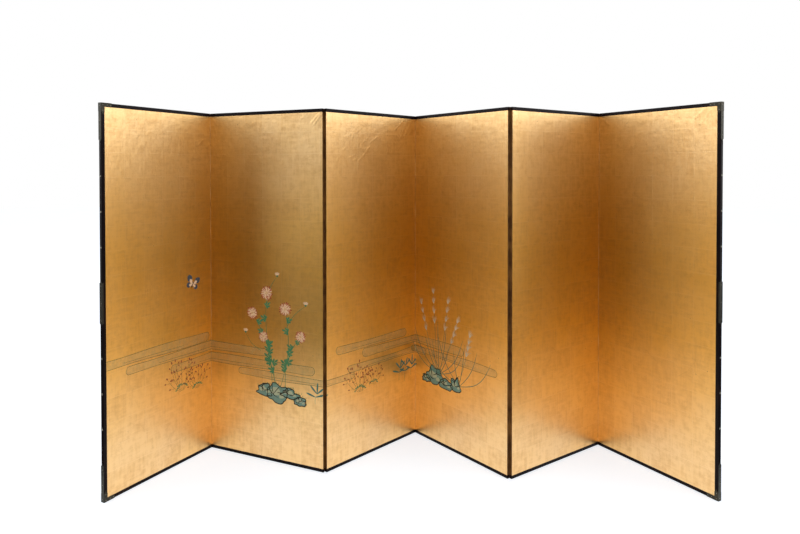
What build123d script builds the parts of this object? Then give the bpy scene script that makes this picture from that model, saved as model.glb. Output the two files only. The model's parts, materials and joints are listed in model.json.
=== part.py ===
from build123d import *
import os
from math import cos, radians, sin

# A six-panel byobu: paper-faced cedar lattices, joined by interleaved paper hinges, with lacquered rails
# top and bottom and a lacquered stile up each end. Millimetres, +Z up, +X along the screen, and the
# painted front faces -Y. The origin is on the floor, under the middle of the standing screen's box.

# ---------------------------------------------------------------------------------------- driving sizes

screen_height = 1710
panel_width = 650  # pivot line to pivot line, and end of stile to pivot line
# How far each panel is turned from the line of the screen, left to right, in degrees. A fold where the
# turn falls is a valley, hinged on the front faces, and one where it rises is a ridge, hinged on the back.
face_turns = (58.8, -25.7, 45.5, -54.7, 35.0, -62.2)

# Lattice
lattice_depth = 13  # front to back, the same for every member
tongue_depth = lattice_depth / 3  # of the bridle joints at the corners
frame_member = 22  # width of the lattice's own stiles and rails
batten_width = 12
housing_depth = 8  # how far a batten's end is let into the frame member
upright_count = 3
crossbar_count = 8

# Papers
strip_paper = 0.4  # hinge strips, and the under-papers that lie level with them
face_paper = 0.4  # gold paper and back paper
strip_count = 9  # hinge strips up one fold
leaf_width = 30  # glued part of a strip
slit = 0.6  # between one strip and the next

# Lacquered frame
rail_height = 16.5
rail_proud = 0.3  # how far the rails stand proud of the face papers
rail_bevel = 2.0  # along the rails' outer edges
stile_width = 17
stile_depth = 17.5  # the stiles are flush with the rails in front and deeper behind
stile_bevel = 2.0

# Folds
pivot_gap = 0.25  # from the rails' faces to the pivot line in front of them or behind them
end_gap = 0.3  # from the rails' ends to the pivot line

# Pegs between rail and lattice
peg_side = 4
peg_in_rail = 10
peg_in_lattice = 12

# Metal fittings on the outer stiles
plate = 1.2
corner_drop = 172  # length of a corner fitting down the side of the stile
corner_leg = 52  # length of its two legs on the front, from the outer corner
middle_length = 206
middle_lip = 5  # how far the middle fitting turns over the front and the back
cusp_share = 0.9  # length of a cusped point over the width of its strip
cusp_bend = 0.38  # how far along the point its curves are drawn in
cusp_waist = 0.32  # width of the point there, over the width of its strip

# Stud nails up the side of each stile
stud_radius = 4.5
stud_rise = 2.6
stud_sides = 8
stud_taper = 40  # slope of the head's facets, degrees
nail_side = 2.4
nail_length = 27
stud_pitch = 152
first_stud = 238  # from mid height to the nearest stud, up and down
studs_each_way = 3

# ------------------------------------------------------------------------------------------ worked sizes

panel_count = len(face_turns)
fold_count = panel_count - 1
half_lattice = lattice_depth / 2
paper_face = half_lattice + strip_paper + face_paper  # outer face of the gold paper
rail_face = paper_face + rail_proud
pivot_depth = rail_face + pivot_gap
stile_back = stile_depth - rail_face
stile_middle = (rail_face - stile_back) / 2  # half way through the stile's depth
sheet_low = rail_height
sheet_high = screen_height - rail_height
strip_pitch = (sheet_high - sheet_low) / strip_count


def along(panel):
    """Direction of a panel's width, from its left end to its right end."""
    turn = radians(face_turns[panel])
    return Vector(cos(turn), sin(turn), 0)


def forward(panel):
    """Direction that a panel's gold face looks in."""
    turn = radians(face_turns[panel])
    return Vector(sin(turn), -cos(turn), 0)


def fold_side(fold):
    """+1 where the panels of a fold are hinged on the front, -1 where on the back."""
    return 1 if face_turns[fold + 1] < face_turns[fold] else -1


def sheet_start(panel):
    """Where a panel's rails and face papers begin, across its width."""
    return stile_width if panel == 0 else end_gap


def sheet_end(panel):
    """Where a panel's rails and face papers end, across its width."""
    return panel_width - (stile_width if panel == panel_count - 1 else end_gap)


def lattice_start(panel):
    """Left edge of a lattice, behind the hinge strips or against the stile."""
    return sheet_start(panel) + (0 if panel == 0 else strip_paper)


def lattice_end(panel):
    """Right edge of a lattice, behind the hinge strips or against the stile."""
    return sheet_end(panel) - (0 if panel == panel_count - 1 else strip_paper)


# The panels stand end to end from a first left end at zero, each pair meeting on a pivot line.
left_ends = [Vector(0, 0, 0)]
pivots = []
for fold in range(fold_count):
    to_pivot = fold_side(fold) * pivot_depth
    pivots.append(left_ends[fold] + along(fold) * panel_width + forward(fold) * to_pivot)
    left_ends.append(pivots[fold] - forward(fold + 1) * to_pivot)

# Plan corners of everything that reaches furthest: rails, and the fittings round the two outer ends.
reach = []
for panel in range(panel_count):
    for end in (sheet_start(panel), sheet_end(panel)):
        for depth in (rail_face, -rail_face):
            reach.append(left_ends[panel] + along(panel) * end + forward(panel) * depth)
for panel, end in ((0, -plate), (panel_count - 1, panel_width + plate)):
    for depth in (rail_face + plate, -stile_back - plate):
        reach.append(left_ends[panel] + along(panel) * end + forward(panel) * depth)
middle = Vector(
    (min(p.X for p in reach) + max(p.X for p in reach)) / 2,
    (min(p.Y for p in reach) + max(p.Y for p in reach)) / 2,
    0,
)
for fold, pivot in enumerate(pivots):
    place = pivot - middle
    print(f"fold_{fold + 1} pivot {place.X:.4f} {place.Y:.4f} side {fold_side(fold):+d}")


def face_plane(panel, depth=0):
    """Upright plane along a panel: X across its width, Y up. Depth counts forwards from the middle."""
    origin = left_ends[panel] - middle + forward(panel) * depth
    return Plane(origin=origin, x_dir=along(panel), z_dir=forward(panel))


def plan_plane(panel, height):
    """Level plane: X across the panel's width, Y backwards."""
    origin = left_ends[panel] - middle + Vector(0, 0, height)
    return Plane(origin=origin, x_dir=along(panel), z_dir=(0, 0, 1))


def section_plane(panel, across):
    """Upright plane square to a panel: X forwards, Y up, facing the panel's left end."""
    origin = left_ends[panel] - middle + along(panel) * across
    return Plane(origin=origin, x_dir=forward(panel), z_dir=along(panel) * -1)


def rectangle(left, right, low, high):
    """A rectangle between two limits each way, in either order, added to the sketch that is open."""
    with Locations(((left + right) / 2, (low + high) / 2)):
        Rectangle(abs(right - left), abs(high - low))


def cusped_end(centre, shoulder, width, direction):
    """The point at the end of a fitting's strip: two hollow curves that meet, added to the open sketch."""
    tip = shoulder + direction * width * cusp_share
    bend = shoulder + direction * width * cusp_share * cusp_bend
    half_waist = width * cusp_waist / 2
    with BuildLine() as outline:
        Line((centre - width / 2, shoulder), (centre + width / 2, shoulder))
        ThreePointArc((centre + width / 2, shoulder), (centre + half_waist, bend), (centre, tip))
        ThreePointArc((centre, tip), (centre - half_waist, bend), (centre - width / 2, shoulder))
    make_face(outline.edges())


os.makedirs("parts", exist_ok=True)

# ---------------------------------------------------------------------------------- lattices, one a panel
# Every crossing is a half lap, and the laps change sides from one crossing to the next, so the battens
# are woven through each other and lock. Batten ends are housed in the frame, whose corners are bridled:
# the rail's tongue goes through the stile's fork.


def upright_places(panel):
    """Centres of a lattice's uprights, across its width."""
    first = lattice_start(panel) + frame_member
    bay = (lattice_end(panel) - frame_member - first) / (upright_count + 1)
    return [first + bay * (index + 1) for index in range(upright_count)]


crossbar_bay = (sheet_high - sheet_low - 2 * frame_member) / (crossbar_count + 1)
crossbar_heights = [sheet_low + frame_member + crossbar_bay * (bar + 1) for bar in range(crossbar_count)]
stud_heights = []
for step in range(studs_each_way):
    stud_heights.append(screen_height / 2 - first_stud - stud_pitch * step)
    stud_heights.append(screen_height / 2 + first_stud + stud_pitch * step)


def peg_places(panel):
    """Pegs stand in the middle of the two outer bays of the lattice."""
    first = lattice_start(panel) + frame_member
    half_bay = (lattice_end(panel) - frame_member - first) / (upright_count + 1) / 2
    return [first + half_bay, lattice_end(panel) - frame_member - half_bay]


for panel in range(panel_count):
    members = []
    left, right = lattice_start(panel), lattice_end(panel)
    uprights = upright_places(panel)

    for outer, inwards, beside_stile in ((left, 1, panel == 0), (right, -1, panel == panel_count - 1)):
        inner = outer + inwards * frame_member
        housed = inner - inwards * housing_depth / 2
        with BuildPart() as lattice_stile:
            with BuildSketch(face_plane(panel)):
                rectangle(outer, inner, sheet_low, sheet_high)
                with Locations(*[(housed, height) for height in crossbar_heights]):
                    Rectangle(housing_depth, batten_width, mode=Mode.SUBTRACT)
            extrude(amount=half_lattice, both=True)
            with BuildSketch(face_plane(panel)):
                rectangle(outer, inner, sheet_low, sheet_low + frame_member)
                rectangle(outer, inner, sheet_high - frame_member, sheet_high)
            extrude(amount=tongue_depth / 2, both=True, mode=Mode.SUBTRACT)
            if beside_stile:
                with BuildSketch(section_plane(panel, outer)):
                    with Locations(*[(stile_middle, height) for height in stud_heights]):
                        Rectangle(nail_side, nail_side)
                extrude(amount=-inwards * (nail_length - stile_width), mode=Mode.SUBTRACT)
        members.append(lattice_stile.part)

    for outer, inwards in ((sheet_low, 1), (sheet_high, -1)):
        inner = outer + inwards * frame_member
        housed = inner - inwards * housing_depth / 2
        with BuildPart() as lattice_rail:
            with BuildSketch(face_plane(panel)):
                rectangle(left + frame_member, right - frame_member, outer, inner)
                with Locations(*[(place, housed) for place in uprights]):
                    Rectangle(batten_width, housing_depth, mode=Mode.SUBTRACT)
            extrude(amount=half_lattice, both=True)
            with BuildSketch(face_plane(panel)):
                rectangle(left, left + frame_member, outer, inner)
                rectangle(right - frame_member, right, outer, inner)
            extrude(amount=tongue_depth / 2, both=True)
            with BuildSketch(plan_plane(panel, outer)):
                with Locations(*[(place, 0) for place in peg_places(panel)]):
                    Rectangle(peg_side, peg_side)
            extrude(amount=inwards * peg_in_lattice, mode=Mode.SUBTRACT)
        members.append(lattice_rail.part)

    # Uprights, and crossbars, are of two kinds, lapped in opposite order, and the kinds stand turn about.
    for kind in (0, 1):
        with BuildPart() as upright:
            with BuildSketch(face_plane(panel)):
                rectangle(
                    uprights[kind] - batten_width / 2,
                    uprights[kind] + batten_width / 2,
                    sheet_low + frame_member - housing_depth,
                    sheet_high - frame_member + housing_depth,
                )
            extrude(amount=half_lattice, both=True)
            for side in (1, -1):
                bars = [bar for bar in range(crossbar_count) if (-1) ** (bar + kind) == side]
                with BuildSketch(face_plane(panel)):
                    with Locations(*[(uprights[kind], crossbar_heights[bar]) for bar in bars]):
                        Rectangle(batten_width, batten_width)
                extrude(amount=side * half_lattice, mode=Mode.SUBTRACT)
        for place in uprights[kind::2]:
            members.append(upright.part.moved(Location(along(panel) * (place - uprights[kind]))))

    for kind in (0, 1):
        with BuildPart() as crossbar:
            with BuildSketch(face_plane(panel)):
                rectangle(
                    left + frame_member - housing_depth,
                    right - frame_member + housing_depth,
                    crossbar_heights[kind] - batten_width / 2,
                    crossbar_heights[kind] + batten_width / 2,
                )
            extrude(amount=half_lattice, both=True)
            for side in (1, -1):
                posts = [post for post in range(upright_count) if (-1) ** (post + kind) == -side]
                with BuildSketch(face_plane(panel)):
                    with Locations(*[(uprights[post], crossbar_heights[kind]) for post in posts]):
                        Rectangle(batten_width, batten_width)
                extrude(amount=side * half_lattice, mode=Mode.SUBTRACT)
        for height in crossbar_heights[kind::2]:
            members.append(crossbar.part.moved(Location((0, 0, height - crossbar_heights[kind]))))

    lattice = Compound(label=f"panel_{panel + 1}_lattice", children=members)
    export_step(lattice, f"parts/{lattice.label}.step")

# ------------------------------------------------------------------------------------------ paper hinges
# Strip after strip up a fold, one goes from the front of the left panel to the back of the right one and
# the next from the back of the left to the front of the right. Each passes between the panels at the
# pivot line. From there it lies flat on one panel, as a leaf under the face paper, and on the other it
# lines the edge and ends as a leaf on the far face.


def strip_limits(strip):
    """Bottom and top of a hinge strip."""
    low = sheet_low + strip * strip_pitch + slit / 2
    return low, low + strip_pitch - slit


def lines_edge(panel, fold, strip):
    """Whether a strip of this fold lines the panel's edge, rather than ending flat on its near face."""
    on_left = panel == fold
    even = strip % 2 == 0
    return even != on_left if fold_side(fold) > 0 else even == on_left


def leaf_side(panel, fold, strip):
    """Face of the panel that a strip's leaf is glued to, +1 for the front."""
    return -fold_side(fold) if lines_edge(panel, fold, strip) else fold_side(fold)


def leaf_limits(panel, fold):
    """Inner and outer edge of the leaves on a panel, across its width."""
    if panel == fold:
        return lattice_end(panel) - leaf_width, lattice_end(panel)
    return lattice_start(panel), lattice_start(panel) + leaf_width


for fold in range(fold_count):
    for panel, hand in ((fold, "left"), (fold + 1, "right")):
        near, far = leaf_limits(panel, fold)
        edge = (far, far + strip_paper) if panel == fold else (near - strip_paper, near)
        strips = []
        for strip in range(strip_count):
            low, high = strip_limits(strip)
            side = leaf_side(panel, fold, strip)
            with BuildPart() as hinge_strip:
                with BuildSketch(plan_plane(panel, low)):
                    rectangle(near, far, -side * half_lattice, -side * (half_lattice + strip_paper))
                    if lines_edge(panel, fold, strip):
                        rectangle(*edge, -half_lattice - strip_paper, half_lattice + strip_paper)
                extrude(amount=high - low)
            strips.append(hinge_strip.part)
        hinge = Compound(label=f"fold_{fold + 1}_hinge_strips_{hand}", children=strips)
        export_step(hinge, f"parts/{hinge.label}.step")

# ------------------------------------------------------------------------------------------------ papers


def panel_folds(panel):
    """The folds at a panel's two ends."""
    return [fold for fold in (panel - 1, panel) if 0 <= fold < fold_count]


for panel in range(panel_count):
    sheets = []
    for side in (1, -1):
        with BuildPart() as under_paper:
            with BuildSketch(face_plane(panel, side * half_lattice)):
                rectangle(lattice_start(panel), lattice_end(panel), sheet_low, sheet_high)
                for fold in panel_folds(panel):
                    near, far = leaf_limits(panel, fold)
                    glued = [strip for strip in range(strip_count) if leaf_side(panel, fold, strip) == side]
                    with Locations(*[((near + far) / 2, sum(strip_limits(strip)) / 2) for strip in glued]):
                        Rectangle(leaf_width, strip_pitch - slit, mode=Mode.SUBTRACT)
            extrude(amount=side * strip_paper)
        sheets.append(under_paper.part)
    under_papers = Compound(label=f"panel_{panel + 1}_under_papers", children=sheets)
    export_step(under_papers, f"parts/{under_papers.label}.step")

    with BuildPart() as gold_paper:
        with BuildSketch(face_plane(panel, half_lattice + strip_paper)):
            rectangle(sheet_start(panel), sheet_end(panel), sheet_low, sheet_high)
        extrude(amount=face_paper)
    gold_paper.part.label = f"panel_{panel + 1}_gold_paper"
    export_step(gold_paper.part, f"parts/{gold_paper.part.label}.step")

    with BuildPart() as back_paper:
        with BuildSketch(face_plane(panel, -half_lattice - strip_paper)):
            rectangle(sheet_start(panel), sheet_end(panel), sheet_low, sheet_high)
        extrude(amount=-face_paper)
    back_paper.part.label = f"panel_{panel + 1}_back_paper"
    export_step(back_paper.part, f"parts/{back_paper.part.label}.step")

# -------------------------------------------------------------------------------------- lacquered frame

for panel in range(panel_count):
    for name, outer, inwards in (("bottom", 0, 1), ("top", screen_height, -1)):
        inner = outer + inwards * rail_height
        with BuildPart() as rail:
            with BuildSketch(section_plane(panel, sheet_start(panel))) as section:
                rectangle(-rail_face, rail_face, outer, inner)
                outside = section.vertices().group_by(Axis.Y)[0 if inwards > 0 else -1]
                chamfer(outside, rail_bevel)
            extrude(amount=sheet_start(panel) - sheet_end(panel))
            with BuildSketch(plan_plane(panel, inner)):
                with Locations(*[(place, 0) for place in peg_places(panel)]):
                    Rectangle(peg_side, peg_side)
            extrude(amount=-inwards * peg_in_rail, mode=Mode.SUBTRACT)
        rail.part.label = f"panel_{panel + 1}_{name}_rail"
        export_step(rail.part, f"parts/{rail.part.label}.step")

    pegs = []
    for seam, inwards in ((sheet_low, 1), (sheet_high, -1)):
        for place in peg_places(panel):
            with BuildPart() as peg:
                with BuildSketch(plan_plane(panel, seam - inwards * peg_in_rail)):
                    with Locations((place, 0)):
                        Rectangle(peg_side, peg_side)
                extrude(amount=inwards * (peg_in_rail + peg_in_lattice))
            pegs.append(peg.part)
    rail_pegs = Compound(label=f"panel_{panel + 1}_rail_pegs", children=pegs)
    export_step(rail_pegs, f"parts/{rail_pegs.label}.step")

# Each end of the screen: its name, its panel, where its outer side is, and which way is inwards.
screen_ends = (("left", 0, 0, 1), ("right", panel_count - 1, panel_width, -1))

for hand, panel, side_face, inwards in screen_ends:
    with BuildPart() as stile:
        with BuildSketch(plan_plane(panel, 0)) as section:
            rectangle(side_face, side_face + inwards * stile_width, -rail_face, stile_back)
            chamfer(section.vertices(), stile_bevel)
        extrude(amount=screen_height)
        with BuildSketch(section_plane(panel, side_face)):
            with Locations(*[(stile_middle, height) for height in stud_heights]):
                Rectangle(nail_side, nail_side)
        extrude(amount=-inwards * stile_width, mode=Mode.SUBTRACT)
    stile.part.label = f"{hand}_stile"
    export_step(stile.part, f"parts/{stile.part.label}.step")

    studs = []
    for height in stud_heights:
        with BuildPart() as stud:
            with BuildSketch(section_plane(panel, side_face)):
                with Locations((stile_middle, height)):
                    RegularPolygon(stud_radius, stud_sides)
            extrude(amount=inwards * stud_rise, taper=stud_taper)
            with BuildSketch(section_plane(panel, side_face)):
                with Locations((stile_middle, height)):
                    Rectangle(nail_side, nail_side)
            extrude(amount=-inwards * nail_length)
        studs.append(stud.part)
    stud_nails = Compound(label=f"{hand}_stile_stud_nails", children=studs)
    export_step(stud_nails, f"parts/{stud_nails.label}.step")

# --------------------------------------------------------------------------------------- metal fittings


def side_strip(panel, side_face, inwards, low, high, cusps):
    """Plate on the outer side of a stile, with a cusped point at its low end (-1) or high end (1)."""
    with BuildSketch(section_plane(panel, side_face)) as outline:
        rectangle(-stile_back, rail_face, low, high)
        for way in cusps:
            cusped_end(stile_middle, high if way > 0 else low, stile_depth, way)
    extrude(outline.sketch, amount=inwards * plate)


for hand, panel, side_face, inwards in screen_ends:
    outside = side_face - inwards * plate
    with BuildPart() as middle_fitting:
        half = middle_length / 2 - stile_depth * cusp_share
        low, high = screen_height / 2 - half, screen_height / 2 + half
        side_strip(panel, side_face, inwards, low, high, (-1, 1))
        for depth, outwards in ((rail_face, 1), (-stile_back, -1)):
            with BuildSketch(face_plane(panel, depth)):
                rectangle(outside, side_face + inwards * middle_lip, low, high)
            extrude(amount=outwards * plate)
    middle_fitting.part.label = f"{hand}_middle_fitting"
    export_step(middle_fitting.part, f"parts/{middle_fitting.part.label}.step")

    # The top corners turn over onto the top of the frame. The bottom ones stop level with its underside.
    corners = []
    inner_edge = side_face + inwards * stile_width
    leg_tip = side_face + inwards * corner_leg
    for outer, into in ((0, 1), (screen_height, -1)):
        root = outer if into > 0 else outer + plate
        shoulder = outer + into * (corner_drop - stile_depth * cusp_share)
        leg_end = outer + into * (corner_leg - stile_width * cusp_share)
        with BuildPart() as corner:
            side_strip(panel, side_face, inwards, min(root, shoulder), max(root, shoulder), (into,))
            with BuildSketch(face_plane(panel, rail_face)):
                rectangle(outside, inner_edge, root, leg_end)
                cusped_end((outside + inner_edge) / 2, leg_end, stile_width + plate, into)
                rectangle(outside, leg_tip, root, outer + into * rail_height)
            extrude(amount=plate)
            with BuildSketch(face_plane(panel, -stile_back)):
                rectangle(outside, inner_edge, root, leg_end)
            extrude(amount=-plate)
            if into < 0:
                with BuildSketch(plan_plane(panel, outer)):
                    rectangle(outside, leg_tip, -rail_face - plate, rail_face)
                    rectangle(outside, inner_edge, -rail_face - plate, stile_back + plate)
                extrude(amount=plate)
        corners.append(corner.part)
    corner_fittings = Compound(label=f"{hand}_corner_fittings", children=corners)
    export_step(corner_fittings, f"parts/{corner_fittings.label}.step")
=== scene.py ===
# %% [markdown]
# # A six-panel gold folding screen
# A byobu is a row of light paper-covered lattices that stand by zigzagging. The joinery, the paper hinges
# and the metalwork come ready made from the CAD model. This lesson gives them their finishes, lays the gold
# paper with its creases, paints autumn flowers over the folds, and builds a small white studio.

# %% Load the finished joinery
import json
import math
import random

import bpy
from mathutils import Matrix, Vector, noise


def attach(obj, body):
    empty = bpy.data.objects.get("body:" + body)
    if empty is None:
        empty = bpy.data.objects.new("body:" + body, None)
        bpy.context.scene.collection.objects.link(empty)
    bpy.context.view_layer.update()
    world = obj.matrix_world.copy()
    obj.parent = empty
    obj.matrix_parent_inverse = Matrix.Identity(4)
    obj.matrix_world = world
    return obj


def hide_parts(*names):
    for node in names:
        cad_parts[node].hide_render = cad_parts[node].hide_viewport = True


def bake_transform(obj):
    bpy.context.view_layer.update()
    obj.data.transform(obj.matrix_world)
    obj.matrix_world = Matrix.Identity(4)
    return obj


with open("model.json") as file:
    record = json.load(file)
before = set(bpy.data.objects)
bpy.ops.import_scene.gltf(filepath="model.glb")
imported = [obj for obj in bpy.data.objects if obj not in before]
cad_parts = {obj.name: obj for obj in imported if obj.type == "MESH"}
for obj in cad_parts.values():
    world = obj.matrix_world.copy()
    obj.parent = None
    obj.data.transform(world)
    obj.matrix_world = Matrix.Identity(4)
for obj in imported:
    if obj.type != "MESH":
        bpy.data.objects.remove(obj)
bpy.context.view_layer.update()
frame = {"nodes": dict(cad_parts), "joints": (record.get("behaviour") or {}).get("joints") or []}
cad = frame["nodes"]
bpy.ops.object.select_all(action="DESELECT")

# %% [markdown]
# Every panel stands at its own angle, so a pattern or a brush stroke has to be turned to lie on it. The
# front of each gold paper tells us where a panel is: its normal is the way the panel faces, and the cross
# product with straight up runs along its width. From those three directions comes one matrix a panel, with
# X along the width, Y into the panel and Z up, and its zero at the bottom left corner of the gold.

# %% Find the plane of each panel
UP = Vector((0, 0, 1))
PANELS = range(1, 7)


def panel_plane(number):
    """Matrix that takes a flat design to a panel's gold face, with the width and height of that face."""
    mesh = cad[f"panel_{number}_gold_paper"].data
    front = max((face for face in mesh.polygons if face.normal.y < 0), key=lambda face: face.area)
    facing = front.normal.copy()
    across = UP.cross(facing)
    widths = [corner.co.dot(across) for corner in mesh.vertices]
    depths = [corner.co.dot(facing) for corner in mesh.vertices]
    heights = [corner.co.z for corner in mesh.vertices]
    origin = across * min(widths) + facing * max(depths) + UP * min(heights)
    turn = Matrix((across, -facing, UP)).transposed().to_4x4()
    return Matrix.Translation(origin) @ turn, max(widths) - min(widths), max(heights) - min(heights)


planes = {number: panel_plane(number) for number in PANELS}
for number, (matrix, width, height) in planes.items():
    turn = math.degrees(matrix.to_euler().z)
    print(f"panel {number}: turned {turn:.1f} degrees, gold {width * 1000:.0f} by {height * 1000:.0f} mm")

# %% [markdown]
# The camera stands a little left of the middle at eye height and looks almost level. A view camera keeps
# upright edges upright by sliding its lens instead of tilting, and the shift values do the same here.

# %% Place the camera
EYE = (-0.230, -3.142, 1.4256)
DOWN, ROLL = 0.906, 0.09  # degrees below level and out of upright
bpy.ops.object.camera_add(location=EYE)
camera = bpy.context.object
camera.rotation_euler = (math.radians(90 - DOWN), math.radians(ROLL), 0)
camera.data.sensor_width = 36
camera.data.lens = 29.34
camera.data.shift_x, camera.data.shift_y = 0.0534, -0.1092
bpy.context.scene.camera = camera
print(f"camera: {EYE[2]:.2f} m up, with a lens of {camera.data.lens:.1f} mm")

# %% [markdown]
# Shader sums are easier to read as formulas than as wires. A `Value` wraps a node's output, and arithmetic
# on it adds Math nodes, also with the number first, as in `1 - mask`. A `Finish` holds a node tree and its
# one `node` method makes every other node: settings go in first, then the values or links of the sockets.

# %% Write shader nodes as formulas
class Value:
    """The output of a shader node, which can be used in sums."""

    def __init__(self, finish, socket):
        self.finish = finish
        self.socket = socket

    def math(self, operation, first, second=0.0):
        """One Math node."""
        return self.finish.node("ShaderNodeMath", {0: first, 1: second}, operation=operation)

    def __add__(self, other):
        return self.math("ADD", self, other)

    def __sub__(self, other):
        return self.math("SUBTRACT", self, other)

    def __mul__(self, other):
        return self.math("MULTIPLY", self, other)

    def __rsub__(self, other):
        return self.math("SUBTRACT", other, self)

    __radd__ = __add__
    __rmul__ = __mul__


class Finish:
    """A node tree being written, for a material or the world."""

    def __init__(self, owner):
        owner.use_nodes = True
        self.owner = owner
        self.tree = owner.node_tree

    def node(self, kind, sockets=None, output=0, **settings):
        """Any node: its settings first, then the values or links of its sockets."""
        made = self.tree.nodes.new(kind)
        for name, value in settings.items():
            setattr(made, name, value)
        self.wire(made, sockets or {})
        return Value(self, made.outputs[output])

    def wire(self, made, sockets):
        """Set sockets of a node to plain values, or link them."""
        for name, value in sockets.items():
            if isinstance(value, Value):
                self.tree.links.new(value.socket, made.inputs[name])
            elif isinstance(value, tuple) and len(value) == 3 and len(made.inputs[name].default_value) == 4:
                made.inputs[name].default_value = (*value, 1)
            else:
                made.inputs[name].default_value = value

    def mix(self, factor, first, second):
        """Blend two colours."""
        return self.node("ShaderNodeMix", {0: factor, 6: first, 7: second}, output=2, data_type="RGBA")

    def ease(self, value, low, high):
        """0 below low, 1 above high and a smooth step between."""
        sockets = {"Value": value, "From Min": low, "From Max": high}
        return self.node("ShaderNodeMapRange", sockets, interpolation_type="SMOOTHSTEP")


def surface(finish, **sockets):
    """Set or link sockets of a material's surface shader, such as base_color or roughness."""
    titles = {name: name.replace("_", " ").title().replace("Ior", "IOR") for name in sockets}
    finish.wire(finish.tree.nodes["Principled BSDF"], {titles[name]: sockets[name] for name in sockets})


def finish_of(name, **constants):
    """A new material, with constant sockets of its surface set by name."""
    finish = Finish(bpy.data.materials.new(name))
    surface(finish, **constants)
    return finish


# %% [markdown]
# The studio has a pale floor. Lit by lamps alone it would look grey beside the white behind it, so it adds
# some light of its own, which the camera and the gloss of the gold see but matt things don't. It then meets
# the white and still shows the soft shadows under the panels.

# %% Lay the floor
FLOOR_RADIUS = 24
FLOOR_GLOW = (0.62, 0.66, 0.71)


def clear_sight(finish):
    """1 for the camera, also in mirrors and through glass, and 0 for the light that falls on matt things."""
    rays = finish.node("ShaderNodeLightPath").socket.node.outputs
    kinds = ("Is Camera Ray", "Is Glossy Ray", "Is Transmission Ray")
    return sum(Value(finish, rays[kind]) for kind in kinds)


bpy.ops.mesh.primitive_circle_add(vertices=96, radius=FLOOR_RADIUS, fill_type="NGON")
floor = bpy.context.object
floor.name = "floor"
pale = finish_of("pale_floor", base_color=(0.58, 0.6, 0.63), roughness=0.9, specular_ior_level=0.1)
glow = pale.node("ShaderNodeEmission", {"Color": pale.mix(clear_sight(pale), (0, 0, 0), FLOOR_GLOW)})
card = Value(pale, pale.tree.nodes["Principled BSDF"].outputs[0])
lifted = pale.node("ShaderNodeAddShader", {0: card, 1: glow})
pale.tree.links.new(lifted.socket, pale.tree.nodes["Material Output"].inputs["Surface"])
floor.data.materials.append(pale.owner)
print(f"floor: {floor.dimensions.x:.0f} m across")

# %% [markdown]
# All round stands a white world. For matt surfaces it is dimmer than for the camera and for gloss, which
# leaves room for the lamps. The Standard view shows white as white.

# %% Light the world
WORLD_LEVEL = 0.6
bpy.context.scene.view_settings.view_transform = "Standard"
world = bpy.data.worlds.new("studio")
bpy.context.scene.world = world
air = Finish(world)
strength = WORLD_LEVEL + clear_sight(air) * (1 - WORLD_LEVEL)
air.wire(air.tree.nodes["Background"], {"Color": (1, 1, 1), "Strength": strength})
print("world:", WORLD_LEVEL, "for matt surfaces, 1 for the camera")

# %% [markdown]
# Two large soft boxes stand far off to the left and the right and reach from the level of the screen to high
# above it. They are what the leaf mirrors along its top and its outer edges, and from there it darkens into
# the folds. Each is given by the angles it fills as the screen sees it, so the energy follows from its area.

# %% Set up the soft boxes
SCREEN_MIDDLE = Vector((0, 0, 0.85))
LAMP_FAR = 9.0
LAMP_LEVEL = 1.13


def soft_box(side, azimuth, elevation, width, height):
    """A far rectangular lamp of even brightness, aimed at the screen; all four numbers are in degrees."""
    turn, rise = math.radians(azimuth), math.radians(elevation)
    back = Vector((math.sin(turn) * math.cos(rise), -math.cos(turn) * math.cos(rise), math.sin(rise)))
    bpy.ops.object.light_add(type="AREA", location=back * LAMP_FAR + SCREEN_MIDDLE)
    lamp = bpy.context.object
    lamp.name = f"soft_box_{side}"
    lamp.rotation_euler = (-back).to_track_quat("-Z", "Y").to_euler()
    lamp.data.shape = "RECTANGLE"
    lamp.data.size = 2 * LAMP_FAR * math.tan(math.radians(width / 2))
    lamp.data.size_y = 2 * LAMP_FAR * math.tan(math.radians(height / 2))
    lamp.data.energy = LAMP_LEVEL * math.pi * lamp.data.size * lamp.data.size_y
    lamp.visible_camera = False
    print(f"{lamp.name}: {lamp.data.size:.1f} by {lamp.data.size_y:.1f} m")


soft_box("left", -92, 29, 56, 58)
soft_box("right", 86, 29, 66, 58)

# %% [markdown]
# Gold shows what stands before it, and an evenly white room makes it look flat. A photographer lays dark
# cloth on the floor in front and hangs it behind the camera. Only glossy rays see the cloth here, so it
# deepens the leaf and takes no light away.

# %% Spread the dark cloth
HUNG_RADIUS, HUNG_HEIGHT = 6, 2.3
LAID_RADIUS, LAID_LEVEL, LAID_SPREAD = 1.65, 0.01, 4


def only_in_gloss(cover):
    """Stage cloth that nothing but a glossy surface can see."""
    cover.visible_camera = cover.visible_diffuse = cover.visible_shadow = cover.visible_transmission = False


def keep_sector(cover, left, right):
    """Keep only the faces of a ring that lie within so many degrees to the left and right of its front."""
    bpy.ops.object.mode_set(mode="EDIT")
    bpy.ops.mesh.select_all(action="DESELECT")
    bpy.ops.object.mode_set(mode="OBJECT")
    for face in cover.data.polygons:
        turn = math.degrees(math.atan2(face.center.x, -face.center.y))
        face.select = not -left < turn < right
    bpy.ops.object.mode_set(mode="EDIT")
    bpy.ops.mesh.delete(type="FACE")
    bpy.ops.object.mode_set(mode="OBJECT")


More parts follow.
